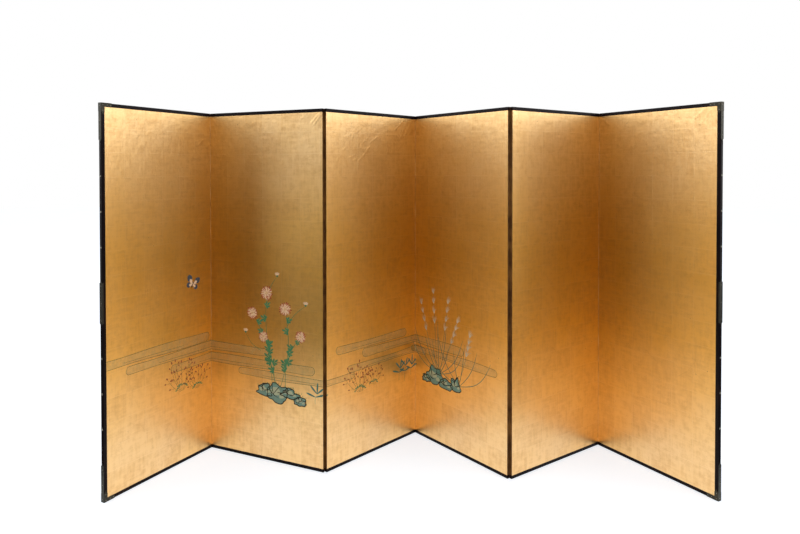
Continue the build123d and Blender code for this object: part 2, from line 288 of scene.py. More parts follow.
bpy.ops.mesh.primitive_cylinder_add(vertices=96, radius=HUNG_RADIUS, depth=HUNG_HEIGHT,
                                    end_fill_type="NOTHING", location=(0, 0, HUNG_HEIGHT / 2))
hung = bpy.context.object
hung.name = "hung_cloth"
bpy.ops.mesh.primitive_circle_add(vertices=96, radius=LAID_RADIUS, location=(0, 0, LAID_LEVEL))
laid = bpy.context.object
laid.name = "laid_cloth"
bpy.ops.object.mode_set(mode="EDIT")
bpy.ops.mesh.extrude_region_move()
bpy.ops.transform.resize(value=(LAID_SPREAD, LAID_SPREAD, 1))
bpy.ops.object.mode_set(mode="OBJECT")
dark = finish_of("dark_cloth", base_color=(0.03, 0.025, 0.02), roughness=0.9, specular_ior_level=0.1)
for cover, left, right in ((hung, 57, 50), (laid, 125, 125)):
    bpy.context.view_layer.objects.active = cover
    bpy.ops.object.transform_apply()
    keep_sector(cover, left, right)
    only_in_gloss(cover)
    cover.data.materials.append(dark.owner)
    print(cover.name, f"from {left} degrees left to {right} degrees right of the front")

# %% [markdown]
# A pattern on the gold has to lie on its panel, so the coordinates are turned into the panel's own plane.
# Most finishes here are soft noise, often drawn out along one axis like fibres, and the same noise raises
# the surface as a bump. All finishes share these helpers.

# %% Helpers for patterns
def on_piece(finish):
    """Coordinates that lie still on a piece, in metres."""
    return finish.node("ShaderNodeTexCoord", output="Object")


def on_panel(finish, number):
    """Coordinates in a panel's own plane, in metres: X along its width, Y into it, Z up."""
    back = planes[number][0].inverted()
    sockets = {"Vector": on_piece(finish), "Location": back.translation, "Rotation": back.to_euler()}
    return finish.node("ShaderNodeMapping", sockets)


def parts_of(finish, vector):
    """The three numbers of a vector."""
    split = finish.node("ShaderNodeSeparateXYZ", {"Vector": vector}).socket.node
    return [Value(finish, socket) for socket in split.outputs]


def grain(finish, vector, scale, detail=2.0, stretch=(1, 1, 1)):
    """Soft noise from 0 to 1 with about scale blots a metre, drawn out along an axis by stretch."""
    longer = finish.node("ShaderNodeMapping", {"Vector": vector, "Scale": stretch})
    sockets = {"Vector": longer, "Scale": scale, "Detail": detail}
    return finish.node("ShaderNodeTexNoise", sockets)


def bump(finish, height, depth):
    """Normals of a surface whose relief is height times depth in metres."""
    return finish.node("ShaderNodeBump", {"Height": height, "Strength": 1.0, "Distance": depth})


# %% [markdown]
# Gold leaf is beaten in squares about eleven centimetres wide and laid with their edges lapping, so a gilded
# paper shows a faint grid where two thicknesses meet. Each square mirrors a little differently. The weave of
# the paper shows through as fine threads, and where hands and air have rubbed the leaf its red ground
# comes up. Painted shade makes it deepest in the folds and at middle height, and a painted highlight makes it
# palest at the top and the bottom.

# %% Mix the gold leaf
LEAF_PITCH = 0.106
LEAF_WORN = (0.56, 0.265, 0.06)
# painted shade beside the folds and at middle height, and a painted highlight at the top and the bottom
LEAF_FOLD_PAINTED_SHADE = (0.92, 0.49, 0.08)
LEAF_MIDDLE_PAINTED_SHADE = (0.93, 0.525, 0.11)
LEAF_PAINTED_HIGHLIGHT = (0.98, 0.665, 0.32)
LEAF_SPECK = (0.24, 0.09, 0.03)
LEAF_RELIEF = 0.0005


def gold_leaf(number):
    """Satin gold leaf on one panel."""
    finish = finish_of(f"gold_leaf_{number}", metallic=1.0, coat_weight=0.3, coat_roughness=0.32)
    point = on_panel(finish, number)
    cloudy, blots = grain(finish, point, 5, 3), grain(finish, point, 34, 5)
    across, _, up = parts_of(finish, point)
    # the squares: which one a point is in, a number of its own for each, and the laps along their edges
    wander = grain(finish, point, 9) * 0.06
    column = across * (1 / LEAF_PITCH) + wander
    row = up * (1 / LEAF_PITCH) + wander
    square = finish.node("ShaderNodeCombineXYZ", {
        "X": column.math("FLOOR", column), "Y": row.math("FLOOR", row), "Z": float(number)})
    chance = finish.node("ShaderNodeTexWhiteNoise", {"Vector": square})
    left, low = column.math("FRACT", column), row.math("FRACT", row)
    lap = (1 - finish.ease(left.math("MINIMUM", left, low), 0.012, 0.034)) * finish.ease(blots, 0.35, 0.6)
    # the paper below: coarse fibres, fine threads, hairline tears, slack at the top and a few dark specks
    fibre = grain(finish, point, 95, 4, (1, 1, 0.14)) + grain(finish, point, 95, 4, (0.14, 1, 1))
    thread = grain(finish, point, 620, 3, (1, 1, 0.2)) + grain(finish, point, 620, 3, (0.2, 1, 1))
    tear = 1 - finish.ease(finish.node("ShaderNodeTexVoronoi", {"Vector": point, "Scale": 16.0},
                                       feature="DISTANCE_TO_EDGE"), 0.004, 0.012)
    hairline = tear * finish.ease(cloudy, 0.50, 0.58)
    slack = grain(finish, point, 30, 2, (1, 1, 0.8)) * finish.ease(up, 1.1, 1.65)
    speck = finish.ease(grain(finish, point, 75, 4), 0.68, 0.75) * finish.ease(cloudy, 0.48, 0.6)
    # colour: painted shade in folds and mid height, painted highlight at top and bottom, rubbed to the red
    # ground in places
    from_middle = up.math("ABSOLUTE", up - planes[number][2] / 2)
    from_fold = finish.ease(planes[number][1] - across if number % 2 else across, 0.0, 0.36)
    # pale is a painted highlight, strongest at the top and the bottom and less beside the folds; cloudy tone
    # and laps follow
    pale = 0.08 + finish.ease(from_middle, 0.16, 0.74) * (0.48 + from_fold * 0.34)
    pale = pale + (cloudy - 0.5) * 0.5 + lap * 0.2
    gold = finish.mix(pale, finish.mix(from_fold, LEAF_FOLD_PAINTED_SHADE, LEAF_MIDDLE_PAINTED_SHADE), LEAF_PAINTED_HIGHLIGHT)
    rubbed = 0.12 + (chance - 0.5) * 0.18 + (blots - 0.5) * 0.8 + (fibre - 1) * 0.5 - lap * 0.18
    rubbed = rubbed + (thread - 1) * 0.35 + hairline * 0.16
    colour = finish.mix(speck * 0.7, finish.mix(rubbed, gold, LEAF_WORN), LEAF_SPECK)
    satin = 0.39 + (cloudy - 0.5) * 0.05 + (chance - 0.5) * 0.03 + (blots - 0.5) * 0.1 + speck * 0.2
    relief = fibre * 0.5 + blots * 0.6 + lap * 0.2 + slack * 2.5 + thread * 0.05
    surface(finish, base_color=colour, roughness=satin, normal=bump(finish, relief, LEAF_RELIEF))
    return finish.owner


leaves = {number: gold_leaf(number) for number in PANELS}
print("gold leaf in squares of", LEAF_PITCH * 1000, "mm")

# %% [markdown]
# The gilded paper is stretched over the lattice by its edges only, and over the years it has puckered at the
# top corners beside the folds. Each crease is written down as a line on the paper. Fourteen short wrinkles
# beside the long creases of the third panel are drawn at random, with a seed, so they are always the same.

# %% Mark the creases
# for each panel, in millimetres: across and up for both ends of each crease, and how far it stands out
CREASES = {
    1: [(621, 1672, 583, 1635, 0.45), (625, 1600, 598, 1576, 0.42), (578, 1556, 548, 1530, 0.40),
        (628, 1540, 606, 1524, 0.35), (600, 1662, 556, 1640, 0.30), (14, 1668, 52, 1630, 0.28)],
    2: [(634, 1670, 592, 1630, 0.50), (641, 1664, 606, 1622, 0.45), (560, 1668, 530, 1644, 0.25),
        (12, 1668, 42, 1632, 0.35), (20, 1630, 34, 1598, 0.25)],
    3: [(556, 1668, 484, 1610, 0.48), (584, 1664, 524, 1566, 0.50), (612, 1660, 566, 1586, 0.50),
        (632, 1640, 600, 1590, 0.35), (346, 1570, 292, 1536, 0.40), (300, 1528, 250, 1476, 0.45)],
    4: [(8, 1670, 78, 1624, 0.50), (26, 1672, 88, 1640, 0.42), (10, 1626, 44, 1588, 0.38)],
    5: [(8, 1670, 46, 1622, 0.40), (16, 1634, 36, 1588, 0.30), (640, 1664, 600, 1630, 0.25)],
    6: [(14, 1668, 58, 1634, 0.42), (572, 1668, 532, 1632, 0.42), (606, 1664, 556, 1606, 0.40)],
}
WRINKLES = 14
chance = random.Random(7)
for _ in range(WRINKLES):
    across, up = chance.uniform(50, 380), chance.uniform(1440, 1620)
    length = chance.uniform(18, 40)
    top = up + length * chance.uniform(0.3, 0.9)
    CREASES[3].append((across + length, top, across, up, chance.uniform(0.16, 0.30)))
print("creases:", {number: len(lines) for number, lines in CREASES.items()})

# %% [markdown]
# In edit mode an operator acts on what is selected, so the pieces are modelled with a few small tools: one
# opens a piece, one selects by place, one applies a modifier, and one carries a finished shape to its place
# and leaves its object unturned at the origin.

# %% Tools for modelling
def select_only(*pieces):
    """Select some pieces and nothing else, with the first as the active one."""
    bpy.ops.object.select_all(action="DESELECT")
    for piece in pieces:
        piece.select_set(True)
    bpy.context.view_layer.objects.active = pieces[0]


def edit_mode(piece):
    """Open one piece in edit mode with nothing selected."""
    select_only(piece)
    bpy.ops.object.mode_set(mode="EDIT")
    bpy.ops.mesh.select_all(action="DESELECT")


def choose(piece, wanted, domain="polygons"):
    """Select the faces or vertices of a piece in edit mode whose place is wanted."""
    bpy.ops.mesh.select_mode(type="FACE" if domain == "polygons" else "VERT")
    bpy.ops.mesh.select_all(action="DESELECT")
    bpy.ops.object.mode_set(mode="OBJECT")
    for part in getattr(piece.data, domain):
        part.select = wanted(part.center if domain == "polygons" else part.co)
    bpy.ops.object.mode_set(mode="EDIT")


def apply_modifier(piece, kind, **settings):
    """Add a modifier, set it and apply it."""
    bpy.context.view_layer.objects.active = piece
    modifier = piece.modifiers.new(kind.title(), kind)
    for name, value in settings.items():
        setattr(modifier, name, value)
    bpy.ops.object.modifier_apply(modifier=modifier.name)


def settle(piece, matrix):
    """Move a piece by a matrix and leave its object unturned at the origin."""
    select_only(piece)
    piece.matrix_world = matrix @ piece.matrix_world
    bpy.ops.object.transform_apply(location=True, rotation=True, scale=True)


def to_segment(point, start, end):
    """Distance in the plane of the panel from a point to a straight line between two others."""
    line, away = end - start, point - start
    share = min(1, max(0, away.dot(line) / line.length_squared))
    return (away - line * share).length


# %% [markdown]
# The sheet is modelled in the flat as a grid, made finer where the creases come. Each crease is pulled up
# with proportional editing, which carries the neighbours along as a fingertip would. Displace lets the paper
# sink a hair between the battens, and Solidify gives it its thickness.

# %% Lay the gilded papers
CELL, FINE_CUTS, FINE_REACH = 0.016, 7, 0.020  # a cell, its cuts near a crease, and how near that is
CREASE_CORE = CELL / FINE_CUTS * 0.6  # corners as near as this to a crease are pulled up
CREASE_REACH = 0.0085  # and the paper follows as far as this round them
SINK, PAPER = 0.0003, 0.0004
slack = bpy.data.textures.new("slack", type="CLOUDS")
slack.noise_scale = 0.22


def pucker(sheet, start, end, rise):
    """Pull a crease out of a sheet in edit mode."""
    choose(sheet, lambda co: to_segment(Vector((co.x, co.z)), start, end) < CREASE_CORE, "vertices")
    bpy.ops.transform.translate(value=(0, -rise, 0), use_proportional_edit=True,
                                proportional_edit_falloff="SMOOTH", proportional_size=CREASE_REACH)


def gilded_paper(number):
    """The creased front paper of one panel."""
    matrix, width, height = planes[number]
    bpy.ops.mesh.primitive_grid_add(x_subdivisions=round(width / CELL), y_subdivisions=round(height / CELL),
                                    size=1, rotation=(math.pi / 2, 0, 0), location=(width / 2, 0, height / 2))
    sheet = bpy.context.object
    sheet.name = f"panel_{number}_gilded_paper"
    sheet.scale = (width, height, 1)
    settle(sheet, Matrix())
    creases = [(Vector((x0, z0)) / 1000, Vector((x1, z1)) / 1000, rise / 1000)
               for x0, z0, x1, z1, rise in CREASES[number]]
    edit_mode(sheet)
    choose(sheet, lambda co: min(to_segment(Vector((co.x, co.z)), c[0], c[1]) for c in creases) < FINE_REACH)
    bpy.ops.mesh.subdivide(number_cuts=FINE_CUTS - 1)
    for start, end, rise in creases:
        pucker(sheet, start, end, rise)
    bpy.ops.object.mode_set(mode="OBJECT")
    apply_modifier(sheet, "DISPLACE", texture=slack, texture_coords="LOCAL", direction="Y",
                   strength=-SINK, mid_level=1.0)
    apply_modifier(sheet, "SOLIDIFY", thickness=PAPER, offset=-1)
    bpy.ops.object.shade_smooth_by_angle(angle=math.radians(30))
    settle(sheet, matrix)
    sheet.data.materials.append(leaves[number])
    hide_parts(f"panel_{number}_gold_paper")
    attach(sheet, f"panel_{number}")
    return sheet


sheets = [gilded_paper(number) for number in PANELS]
print("gilded papers:", [len(sheet.data.polygons) for sheet in sheets], "faces")

# %% [markdown]
# The hinges are strips of strong mulberry paper, most of it gilded. Where it lies deep in a fold its colour
# is a dark brown, which is painted shade. Only where a fold opens to the front does it keep the colour of
# gold.

# %% Mix the hinge papers
def folded_paper(name, metallic, deep, worn):
    """Mulberry paper, gilded once, in a blotchy mix of two colours; with dark browns it carries painted fold
    shade.
    """
    finish = finish_of(name, roughness=0.65 - metallic * 0.2, metallic=metallic, specular_ior_level=0.3)
    point = on_piece(finish)
    fibres = grain(finish, point, 220, 4, (1, 1, 0.08))
    colour = finish.mix(finish.ease(grain(finish, point, 18, 3) * 0.6 + fibres * 0.4, 0.35, 0.65), deep, worn)
    surface(finish, base_color=colour, normal=bump(finish, fibres, 0.0002))
    return finish.owner


# the brown paper's dark browns are painted shade: gilded paper as it looks deep in a fold
hinge_paper = folded_paper("hinge_paper", 0.3, (0.095, 0.034, 0.006), (0.26, 0.115, 0.026))
gilt_paper = folded_paper("gilt_hinge_paper", 0.8, (0.50, 0.25, 0.07), (0.98, 0.66, 0.32))
print("hinge papers:", hinge_paper.name, "and", gilt_paper.name)

# %% [markdown]
# Where two panels meet, the hinge strips pass through the gap and close it, all but a hair between one strip
# and the next, and short brown tails run on between the rails. That bend of paper belongs to both panels.

# %% Bend the hinge paper through the folds
HINGE_DEEP, PIVOT_DEEP = 0.0069, 0.00785  # faces of the strips and pivots, from the middle of a panel
BEND_REACH = PIVOT_DEEP - HINGE_DEEP
END_GAP = 0.0003  # from a panel's edge to the middle of the gap
STRIPS, SLIT = 9, 0.0001
BEND_STEPS, BEND_PAPER = 8, 0.0003
RAIL_HEIGHT, TAIL_SHORT = 0.0165, 0.0006


def fold_number(joint):
    """The number of a fold, which is also the number of the panel on its left."""
    return int(joint["name"].split("_")[1])


def opens_in_front(joint):
    """Whether a fold turns about the front edges, so that its paper shows on the gilded side."""
    matrix = planes[fold_number(joint)][0]
    return (Vector(joint["pos_m"]) - matrix.translation).dot(matrix.to_3x3().col[1]) < 0


def paper_bend(joint, part, spans, material):
    """Paper that passes through one fold between pairs of heights."""
    number = fold_number(joint)
    pivot = Vector(joint["pos_m"])
    left, right = planes[number][0].to_3x3(), planes[number + 1][0].to_3x3()
    side = 1 if opens_in_front(joint) else -1
    start = left.col[0] * -END_GAP + left.col[1] * BEND_REACH * side
    end = right.col[0] * END_GAP + right.col[1] * BEND_REACH * side
    sweep = start.xy.angle_signed(end.xy)
    pieces = []
    for low, high in spans:
        bpy.ops.mesh.primitive_plane_add(size=1)
        bend = bpy.context.object
        bpy.ops.object.mode_set(mode="EDIT")
        bpy.ops.mesh.merge(type="CENTER")
        bpy.ops.transform.translate(value=pivot + start + UP * (low + SLIT / 2))
        bpy.ops.mesh.extrude_region_move(TRANSFORM_OT_translate={"value": (0, 0, high - low - SLIT)})
        bpy.ops.mesh.select_all(action="SELECT")
        bpy.ops.mesh.spin(steps=BEND_STEPS, angle=sweep, center=pivot, axis=(0, 0, 1))
        bpy.ops.object.mode_set(mode="OBJECT")
        pieces.append(bend)
    select_only(*pieces)
    bpy.ops.object.join()
    bend = bpy.context.object
    bend.name = f"fold_{number}_{part}"
    apply_modifier(bend, "SOLIDIFY", thickness=BEND_PAPER, offset=0)
    bpy.ops.object.transform_apply()
    bend.data.materials.append(material)
    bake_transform(bend)
    print(bend.name, f"turns {math.degrees(sweep):.0f} degrees about its pivot")


for joint in frame["joints"]:
    height = planes[fold_number(joint)][2]
    pitch = height / STRIPS
    strips = [(RAIL_HEIGHT + strip * pitch, RAIL_HEIGHT + (strip + 1) * pitch) for strip in range(STRIPS)]
    paper_bend(joint, "paper_bends", strips, gilt_paper if opens_in_front(joint) else hinge_paper)
    tail = RAIL_HEIGHT - TAIL_SHORT
    top = height + RAIL_HEIGHT
    paper_bend(joint, "paper_tails", [(RAIL_HEIGHT - tail, RAIL_HEIGHT), (top, top + tail)], hinge_paper)

# %% [markdown]
# Between the strips the edges of a panel would be bare wood, so they are lined with the same brown paper. A
# narrow sheet, a little uneven, is laid on each folded edge just below the strips that wrap round it.

# %% Line the folded edges
EDGE_FRONT, EDGE_BACK = 0.0004, 0.0142  # where a lining begins and ends, behind the face of the gold
EDGE_INSET, EDGE_CREPE, EDGE_PAPER = 0.00005, 0.0001, 0.0002
EDGE_CELLS = (160, 3)
creping = bpy.data.textures.new("creping", type="CLOUDS")
creping.noise_scale = 0.006


def edge_paper(number, side):
    """The lining of a panel's left (-1) or right (1) edge."""
    matrix, width, height = planes[number]
    place = (width - EDGE_INSET if side > 0 else EDGE_INSET, (EDGE_FRONT + EDGE_BACK) / 2, height / 2)
    bpy.ops.object.select_all(action="DESELECT")
    bpy.ops.mesh.primitive_grid_add(x_subdivisions=EDGE_CELLS[0], y_subdivisions=EDGE_CELLS[1], size=1,
                                    location=place, rotation=(0, math.radians(90 * side), 0))
    lining = bpy.context.object
    lining.name = f"panel_{number}_edge_paper_{'right' if side > 0 else 'left'}"
    lining.scale = (height, EDGE_BACK - EDGE_FRONT, 1)
    settle(lining, Matrix())
    apply_modifier(lining, "DISPLACE", texture=creping, texture_coords="LOCAL", direction="X",
                   strength=-side * EDGE_CREPE, mid_level=1.0)
    apply_modifier(lining, "SOLIDIFY", thickness=EDGE_PAPER, offset=-1)
    bpy.ops.object.shade_smooth_by_angle(angle=math.radians(30))
    settle(lining, matrix)
    lining.data.materials.append(hinge_paper)
    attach(lining, f"panel_{number}")


for number in range(1, len(PANELS)):
    edge_paper(number, 1)
    edge_paper(number + 1, -1)

# %% [markdown]
# The backs of such screens are covered with a printed paper. This one has the old pattern of interlocking
# circles. Every point of a square cell is measured to the cell's four corners. Where a distance is close to
# the circles' radius there is a printed line, and where it is close to nothing a small spot.

# %% Print the back papers
CIRCLE_PITCH = 0.052


def printed_paper(number):
    """Dark green paper printed with interlocking circles, for the back of one panel."""
    finish = finish_of(f"back_paper_{number}", roughness=0.75)
    point = on_panel(finish, number)
    across, _, up = parts_of(finish, point)
    across, up = across * (1 / CIRCLE_PITCH), up * (1 / CIRCLE_PITCH)
    x, z = across.math("FRACT", across) - 0.5, up.math("FRACT", up) - 0.5
    near = centre = 1.0
    for corner_x in (-0.5, 0.5):
        for corner_z in (-0.5, 0.5):
            reach = x.math("SQRT", (x - corner_x) * (x - corner_x) + (z - corner_z) * (z - corner_z))
            gap = x.math("ABSOLUTE", reach - math.sqrt(0.5))
            near, centre = x.math("MINIMUM", near, gap), x.math("MINIMUM", centre, reach)
    rubbed = grain(finish, point, 60, 4)
    line = 1 - finish.ease(near, 0.022, 0.040)
    spot = 1 - finish.ease(centre, 0.07, 0.085)
    print_ink = line.math("MAXIMUM", line, spot) * finish.ease(rubbed, 0.30, 0.52)
    fibres = grain(finish, point, 260, 4, (0.15, 1, 1)) * 0.5 + grain(finish, point, 7, 3) * 0.5
    ground = finish.mix(fibres, (0.030, 0.045, 0.034), (0.075, 0.095, 0.068))
    surface(finish, base_color=finish.mix(print_ink * 0.75, ground, (0.19, 0.19, 0.12)),
            roughness=0.8 - print_ink * 0.25, normal=bump(finish, fibres + print_ink * 0.3, 0.0001))
    return finish.owner


def dress(name, material):
    """Give a CAD piece its finish."""
    cad[name].data.materials.clear()
    cad[name].data.materials.append(material)


for number in PANELS:
    dress(f"panel_{number}_back_paper", printed_paper(number))
print("back papers with circles", CIRCLE_PITCH * 1000, "mm apart")

# %% [markdown]
# Inside are bare cedar battens, bamboo pegs and layers of plain mulberry paper. Nobody sees them in a
# finished screen, yet they are there when it is taken apart. Cedar has fine straight rings, drawn by noise
# that is stretched along the batten.

# %% Finish the timber and the plain papers
def plain_wood(name, pale_colour, ring_colour, rings):
    """Unfinished straight-grained wood."""
    finish = finish_of(name, roughness=0.65)
    point = on_piece(finish)
    streaks = grain(finish, point, rings, 3, (1, 1, 0.03))
    pores = grain(finish, point, rings * 6, 2, (1, 1, 0.05))
    ring = finish.ease(streaks, 0.45, 0.62) * 0.8 + pores * 0.3
    surface(finish, base_color=finish.mix(ring, pale_colour, ring_colour), normal=bump(finish, ring, 0.0002))
    return finish.owner


def plain_paper():
    """Thick unbleached mulberry paper."""
    finish = finish_of("under_paper", roughness=0.85)
    point = on_piece(finish)
    fibres = grain(finish, point, 120, 5, (0.2, 0.2, 1)) * 0.5 + grain(finish, point, 30, 4) * 0.5
    surface(finish, base_color=finish.mix(fibres, (0.62, 0.52, 0.36), (0.82, 0.75, 0.60)),
            normal=bump(finish, fibres, 0.0002))
    return finish.owner


cedar = plain_wood("cedar", (0.60, 0.40, 0.22), (0.38, 0.20, 0.09), 240)
bamboo = plain_wood("bamboo", (0.66, 0.52, 0.27), (0.48, 0.34, 0.14), 900)
under_paper = plain_paper()
for number in PANELS:
    dress(f"panel_{number}_lattice", cedar)
    dress(f"panel_{number}_rail_pegs", bamboo)
    dress(f"panel_{number}_under_papers", under_paper)
strips = [name for name in cad if "hinge_strips" in name]
for name in strips:
    dress(name, hinge_paper)
print("timber, pegs and plain papers of", len(PANELS), "panels, and hinge strips:", len(strips))

# %% [markdown]
# The frame is black lacquer, rubbed down and polished in many coats. It is never quite even: slow waves and
# fine dust marks show in its gloss, the black has a trace of brown where the coats are thin, and handling
# has left fine scuffs. The reflections are kept weak, or the white room would turn the black to grey.

# %% Polish the lacquer
def black_lacquer():
    """Polished black lacquer, a little worn."""
    finish = finish_of("black_lacquer", coat_weight=0.03, coat_roughness=0.10, specular_ior_level=0.05)
    point = on_piece(finish)
    waves, dust = grain(finish, point, 22, 3), grain(finish, point, 700, 2)
    thin = finish.ease(grain(finish, point, 9, 4), 0.52, 0.75)
    scuff = finish.ease(grain(finish, point, 420, 3, (0.3, 0.3, 1)), 0.66, 0.74)
    colour = finish.mix(thin * 0.6, (0.009, 0.006, 0.007), (0.026, 0.012, 0.009))
    gloss = 0.24 + (waves - 0.5) * 0.14 + scuff * 0.2
    surface(finish, base_color=finish.mix(scuff * 0.25, colour, (0.09, 0.07, 0.06)), roughness=gloss,
            normal=bump(finish, waves + dust * 0.03, 0.0004))
    return finish.owner


lacquer = black_lacquer()
framing = [name for name in cad if name.endswith(("rail", "stile"))]
for name in framing:
    dress(name, lacquer)
print("lacquered:", len(framing), "rails and stiles")

# %% [markdown]
# The mounts at the corners and half way up are thin copper plates, stained nearly black. Their ground is
# stippled with a ring punch, row on row of tiny beads, which is a Voronoi pattern used as relief. On the
# raised beads the stain has worn to a warmer brown. Hands have rubbed the heads of the nails almost bright.

# %% Stain the metal
def stained_copper(name, beads, relief, dark, light):
    """Stained copper with a punched ground."""
    finish = finish_of(name, metallic=0.9)
    point = on_piece(finish)
    stain = grain(finish, point, 35, 4)
    bead = finish.node("ShaderNodeTexVoronoi", {"Vector": point, "Scale": beads, "Randomness": 0.35})
    worn = (1 - finish.ease(bead, 0.1, 0.5)) * finish.ease(stain, 0.4, 0.7)
    colour = finish.mix(stain, dark, light)
    surface(finish, base_color=finish.mix(worn * 0.4, colour, (0.22, 0.14, 0.08)),
            roughness=0.42 + (stain - 0.5) * 0.2, normal=bump(finish, 1 - bead, relief))
    return finish.owner


plate_metal = stained_copper("stained_copper", 700, 0.0003, (0.022, 0.022, 0.017), (0.058, 0.055, 0.041))
nail_metal = stained_copper("rubbed_nails", 300, 0.0001, (0.16, 0.15, 0.12), (0.42, 0.40, 0.34))
for name in cad:
    if name.endswith(("fitting", "fittings", "stud_nails")):
        dress(name, nail_metal if name.endswith("nails") else plate_metal)
        print(name, "is", cad[name].data.materials[0].name)

# %% [markdown]
# Small round-headed nails hold each plate. One head is modelled, half a flattened ball cut level and closed,
# and copied to its places down the side of the stile and along the legs of the corner plates.

# %% Model a nail head
NAIL = 0.0019  # radius of a head
NAIL_DOME = 0.55  # its height for its radius


def nail_head():
    """One round nail head at the origin, its dome pointing up."""
    bpy.ops.mesh.primitive_uv_sphere_add(segments=14, ring_count=8, radius=NAIL)
    head = bpy.context.object
    bpy.ops.object.mode_set(mode="EDIT")
    bpy.ops.mesh.select_all(action="SELECT")
    bpy.ops.mesh.bisect(plane_co=(0, 0, 0), plane_no=(0, 0, 1), clear_inner=True, use_fill=True)
    bpy.ops.mesh.select_all(action="SELECT")
    bpy.ops.transform.resize(value=(1, 1, NAIL_DOME), center_override=(0, 0, 0))
    bpy.ops.object.mode_set(mode="OBJECT")
    bpy.ops.object.shade_smooth_by_angle(angle=math.radians(40))
    return head


def copies(pattern, matrices, name):
    """Copies of a modelled shape, each with its own mesh, joined into one piece."""
    bpy.ops.object.select_all(action="DESELECT")
    for matrix in matrices:
        copy = pattern.copy()
        copy.data = pattern.data.copy()
        copy.data.transform(matrix)
        if matrix.determinant() < 0:
            copy.data.flip_normals()
        bpy.context.collection.objects.link(copy)
        copy.select_set(True)
        bpy.context.view_layer.objects.active = copy
    bpy.ops.object.join()
    joined = bpy.context.object
    joined.name = name
    return joined


head = nail_head()
print("nail head:", len(head.data.polygons), "faces")

# %% [markdown]
# On each outer stile nine nails go into the side, three to a plate, and eight into the front of the two
# corner plates. The places are measured in the panel's plane, from the foot and the top of the screen.

# %% Drive the small nails
PLATE = 0.0012  # thickness of the mounts
STILE_WIDTH, STILE_FRONT, STILE_BACK = 0.017, -0.0003, 0.0172
NAIL_AXIS = (STILE_FRONT + STILE_BACK) / 2 - 0.0003


def nail_places(number, outside, inwards):
    """Matrices that set nail heads on the plates of one outer stile, in the panel's plane."""
    foot, top = -RAIL_HEIGHT, planes[number][2] + RAIL_HEIGHT
    middle = (foot + top) / 2
    side_turn = Matrix.Rotation(math.radians(90 * -inwards), 4, "Y")
    front_turn = Matrix.Rotation(math.radians(90), 4, "X")
    places = []
    for z in (foot + 0.012, foot + 0.075, foot + 0.140, middle - 0.075, middle, middle + 0.075,
              top - 0.140, top - 0.075, top - 0.012):
        places.append(Matrix.Translation((outside - inwards * PLATE, NAIL_AXIS, z)) @ side_turn)
    for z in (foot + 0.008, top - 0.008):
        for step in (0.008, 0.030, 0.047):
            places.append(Matrix.Translation((outside + inwards * step, STILE_FRONT - PLATE, z)) @ front_turn)
    for z in (foot + 0.032, top - 0.032):
        places.append(Matrix.Translation((outside + inwards * 0.008, STILE_FRONT - PLATE, z)) @ front_turn)
    return places


for number, outside, inwards in ((1, -STILE_WIDTH, 1), (6, planes[6][1] + STILE_WIDTH, -1)):
    places = nail_places(number, outside, inwards)
    nails = copies(head, places, f"panel_{number}_plate_nails")
    settle(nails, planes[number][0])
    nails.data.materials.append(nail_metal)
    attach(nails, f"panel_{number}")
    print(nails.name, "heads:", len(places))
bpy.data.objects.remove(head)

# %% [markdown]
# The painting runs on across the folds, so it is designed on the screen laid flat, like a scroll on a table:
# X is the distance from its left edge, Y the height above the foot of the gold and Z the thickness of the
# paint. Its colours are ground minerals, coarse and matt, which gold shows through where they are rubbed.

# %% Grind the pigments
FLAT = [0.0]
for number in PANELS:
    FLAT.append(FLAT[-1] + planes[number][1])
print(f"the screen laid flat is {FLAT[-1]:.2f} m wide")


def mineral(name, colour, shade, alpha=1.0):
    """A coarse matt mineral pigment, rubbed thin in places."""
    finish = finish_of(name, roughness=0.85, specular_ior_level=0.25)
    point = on_piece(finish)
    sand, pools = grain(finish, point, 900, 2), grain(finish, point, 60, 3)
    mixed = finish.mix(pools * 0.7 + sand * 0.5 - 0.1, shade, colour)
    rubbed = finish.ease(grain(finish, point, 260, 4), 0.62, 0.72)
    worn = finish.mix(rubbed * 0.6, mixed, (0.42, 0.22, 0.07))
    surface(finish, base_color=worn, normal=bump(finish, sand, 0.0001))
    if alpha < 1:
        surface(finish, alpha=(pools * 1.2 - 0.1) * alpha)
    return finish.owner


# %% [markdown]
# Strokes and outlines begin as smooth curves through a few points of the design. Stems and blades of grass
# bow, so `bend` gives the points of an arc between two places, and `beyond` finds the place that lies some
# way off in a direction.

# %% Draw curves in the flat
def flat_curve(points, closed):
    """A smooth curve through a design, with no thickness yet."""
    curve = bpy.data.curves.new("mark", "CURVE")
    curve.resolution_u = 3
    spline = curve.splines.new("NURBS")
    spline.points.add(len(points) - 1)
    for place, (x, y) in zip(spline.points, points):
        place.co = (x, y, 0, 1)
    spline.order_u = 3
    spline.use_cyclic_u = closed
    spline.use_endpoint_u = not closed
    mark = bpy.data.objects.new("mark", curve)
    bpy.context.collection.objects.link(mark)
    return mark, curve, spline


def bend(start, end, sag, steps=4):
    """Points of an arc from one place to another that bows to its left by sag."""
    start, end = Vector(start), Vector(end)
    side = Vector((start.y - end.y, end.x - start.x)).normalized()
    arc = []
    for step in range(steps + 1):
        share = step / steps
        arc.append(tuple(start.lerp(end, share) + side * sag * math.sin(math.pi * share)))
    return arc


def beyond(place, turn, length):
    """The point at a distance from another, in a direction in radians from straight up."""
    return place[0] + math.sin(turn) * length, place[1] + math.cos(turn) * length


print("an arc:", [(round(x, 2), round(y, 2)) for x, y in bend((0, 0), (1, 0), 0.1)])

# %% [markdown]
# Paint lies on gold in low relief. A brush stroke is a tapering curve that is made a mesh and pressed flat,
# an area of colour is a filled curve, and petals and leaves are raised dabs, modelled once and copied. Each
# pigment gathers its marks, and in the end it is cut at the folds and set on the panels.

# %% Brushes
PAINT_DEEP = 0.0003
WASH, BODY, LINE, DOTS = 0.00003, 0.00005, 0.00009, 0.00014  # how far each layer stands on the gold
PRESSED = 0.08  # height of a stroke for its width
SAME_PLACE = 0.000002  # corners nearer than this are merged
hand = random.Random(21)


